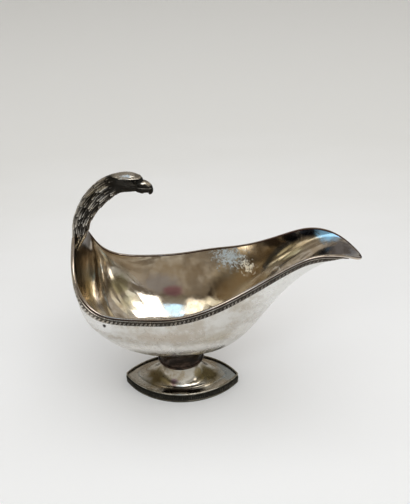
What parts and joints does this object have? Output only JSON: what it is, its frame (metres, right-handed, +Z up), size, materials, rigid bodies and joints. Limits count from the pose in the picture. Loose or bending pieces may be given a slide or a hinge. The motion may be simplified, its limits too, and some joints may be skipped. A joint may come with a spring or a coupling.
{
  "type": "sauce boat",
  "caption": "Footed silver sauce boat: long bowl with a sweeping lip and spout, eagle's-head handle on the high back, and a pointed oval foot.",
  "frame": {"origin": "on the table, under the middle of the boat's length and width; the foot's upright axis is 33 mm behind it", "axes": "+X towards the spout, +Y to the boat's left side, +Z up"},
  "size_m": [0.2264, 0.099, 0.2004],
  "materials": {
    "silver": "worn polished silver with warm tarnish, browner inside the bowl",
    "silver_oxidised": "cast and rolled silver, dark in the recesses and bright on the edges"
  },
  "bodies": {
    "root": {"bowl": "silver", "lip_wire": "silver", "foot_collar": "silver", "foot_pedestal": "silver", "foot_thread_wire": "silver", "foot_base_wire": "silver", "rim_frieze_left": "silver_oxidised", "rim_frieze_right": "silver_oxidised", "handle_casting_left": "silver_oxidised", "handle_casting_right": "silver_oxidised", "foot_border_left": "silver_oxidised", "foot_border_right": "silver_oxidised"}
  },
  "joints": []
}
